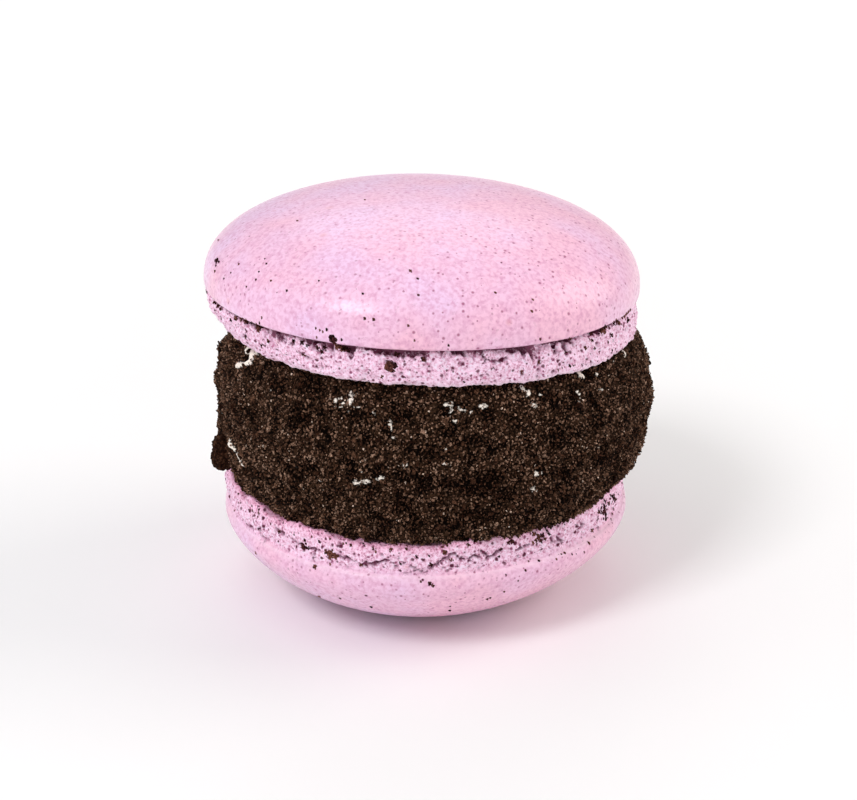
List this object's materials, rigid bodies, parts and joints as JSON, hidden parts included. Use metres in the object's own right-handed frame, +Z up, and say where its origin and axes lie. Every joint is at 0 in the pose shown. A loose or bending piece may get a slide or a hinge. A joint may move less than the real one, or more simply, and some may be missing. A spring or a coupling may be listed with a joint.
{
  "type": "cookies and cream macaron",
  "caption": "Tall filled macaron: two domed almond shells with frilled feet around a thick cream filling coated in dark biscuit crumbs.",
  "frame": {"origin": "centre of the flat spot under the lower shell, which rests on the ground", "axes": "+Z up through the stack of shells and filling; the picture looks along +Y and down"},
  "size_m": [0.0526, 0.0514, 0.0479],
  "materials": {
    "almond_shell": "baked almond meringue, pale pink, smooth and satin on the dome and crumbly on the foot",
    "biscuit_crumb": "fine dark cocoa biscuit crumbs stuck to white cream, matt and granular"
  },
  "bodies": {
    "root": {"shell_top": "almond_shell", "filling": "biscuit_crumb", "shell_bottom": "almond_shell"}
  },
  "joints": []
}
